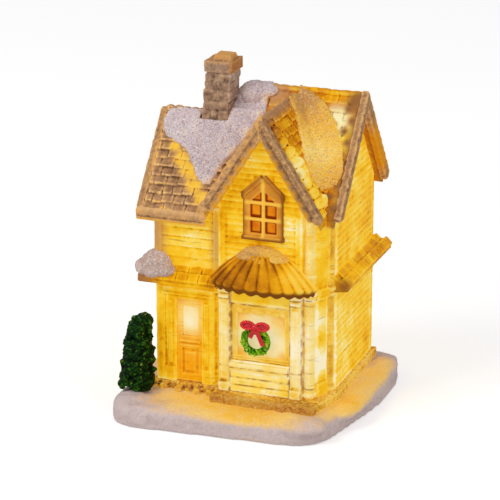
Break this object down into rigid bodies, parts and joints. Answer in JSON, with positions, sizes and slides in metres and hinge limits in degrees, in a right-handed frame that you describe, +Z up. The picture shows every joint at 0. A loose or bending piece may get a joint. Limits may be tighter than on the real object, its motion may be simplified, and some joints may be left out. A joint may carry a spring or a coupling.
{
  "type": "light-up christmas house",
  "caption": "Small snow-covered village house ornament with a bay, gabled roofs, chimney and bush, lit from inside by a pull-out battery light unit in its base.",
  "frame": {"origin": "under the middle of the snowy base, on the surface it stands on", "axes": "+Z up, the bay, door and awning face -Y, +X to the right as seen from the front"},
  "size_m": [0.0758, 0.0726, 0.1101],
  "materials": {
    "wall_glow": "cast resin, washed yellow paint, lit from inside",
    "trim_glow": "cast resin, amber wash over yellow, lit from inside",
    "roof_tan": "cast resin, dry-brushed tan shingles, lit from inside",
    "barge_brown": "cast resin, taupe paint",
    "snow_white": "cast resin, glittery lavender white snow",
    "snow_gold": "cast resin, snow glitter lit gold from below",
    "stone_brown": "cast resin, gritty brown stone",
    "chimney_stone": "cast resin, grey brown stonework",
    "pane_cream": "thin resin, cream paint, lit from behind",
    "window_amber": "thin resin, amber paint, lit from behind",
    "foliage": "cast resin, dark green with glitter",
    "wreath_green": "cast resin, bright green paint",
    "bow_red": "cast resin, glossy red paint",
    "unit_plastic": "moulded cream plastic",
    "board_green": "lacquered circuit board",
    "lamp": "clear epoxy lens of the lamp",
    "steel": "plated steel",
    "switch_black": "black plastic",
    "resistor_tan": "lacquered ceramic"
  },
  "bodies": {
    "root": {"snow_base": "snow_white", "stone_platform": "stone_brown", "wall_right": "wall_glow", "wall_left": "wall_glow", "wall_back_wing": "wall_glow", "wall_back_main": "wall_glow", "wall_main_left": "wall_glow", "wall_canted": "wall_glow", "wall_wing_lower": "wall_glow", "wall_wing_upper": "wall_glow", "shop_lintel": "wall_glow", "stall_wall": "wall_glow", "wall_gable": "wall_glow", "post_bay": "trim_glow", "post_corner": "trim_glow", "pilaster_left": "trim_glow", "pilaster_right": "trim_glow", "stall_board": "wall_glow", "shop_sill": "trim_glow", "shop_frame": "trim_glow", "shop_pane": "pane_cream", "window_frame": "barge_brown", "window_glass": "window_amber", "door_casing": "trim_glow", "door_leaf": "wall_glow", "door_glass": "pane_cream", "skirt_roof_left": "roof_tan", "skirt_roof_right": "roof_tan", "main_roof": "roof_tan", "wing_roof": "roof_tan", "gable_roof": "roof_tan", "barge_left": "barge_brown", "barge_right": "barge_brown", "rake_right": "barge_brown", "rake_left": "barge_brown", "wing_fascia": "barge_brown", "awning": "trim_glow", "awning_snow": "snow_gold", "chimney_stack": "chimney_stone", "chimney_cap": "chimney_stone", "roof_snow": "snow_white", "valley_snow": "snow_gold", "skirt_snow": "snow_white", "bush": "foliage", "wreath": "wreath_green", "wreath_bow": "bow_red"},
    "light_unit": {"housing_cup": "unit_plastic", "housing_lid": "unit_plastic", "circuit_board": "board_green", "led": "lamp", "resistor": "resistor_tan", "button_cell_1": "steel", "button_cell_2": "steel", "button_cell_3": "steel", "contact_upper": "steel", "switch_case": "switch_black"},
    "battery_hatch": {"battery_door": "unit_plastic", "contact_lower": "steel"},
    "hatch_screw": {"door_screw": "steel"},
    "switch_knob": {"switch_slider": "switch_black"}
  },
  "joints": [
    {"name": "light_unit_pull", "type": "slide", "parent": "root", "child": "light_unit", "axis": [0, 0, -1], "range_m": [0, 0.026]},
    {"name": "battery_door_swing", "type": "hinge", "parent": "light_unit", "child": "battery_hatch", "pos_m": [0.002, -0.0087, 0.0013], "axis": [-1, 0, 0], "range_deg": [0, 80]},
    {"name": "door_screw_turn", "type": "hinge", "parent": "battery_hatch", "child": "hatch_screw", "pos_m": [0.01187, 0.0057, 0.0005], "axis": [0, 0, -1], "continuous": true},
    {"name": "switch_slide", "type": "slide", "parent": "light_unit", "child": "switch_knob", "axis": [1, 0, 0], "range_m": [0, 0.0024]}
  ]
}
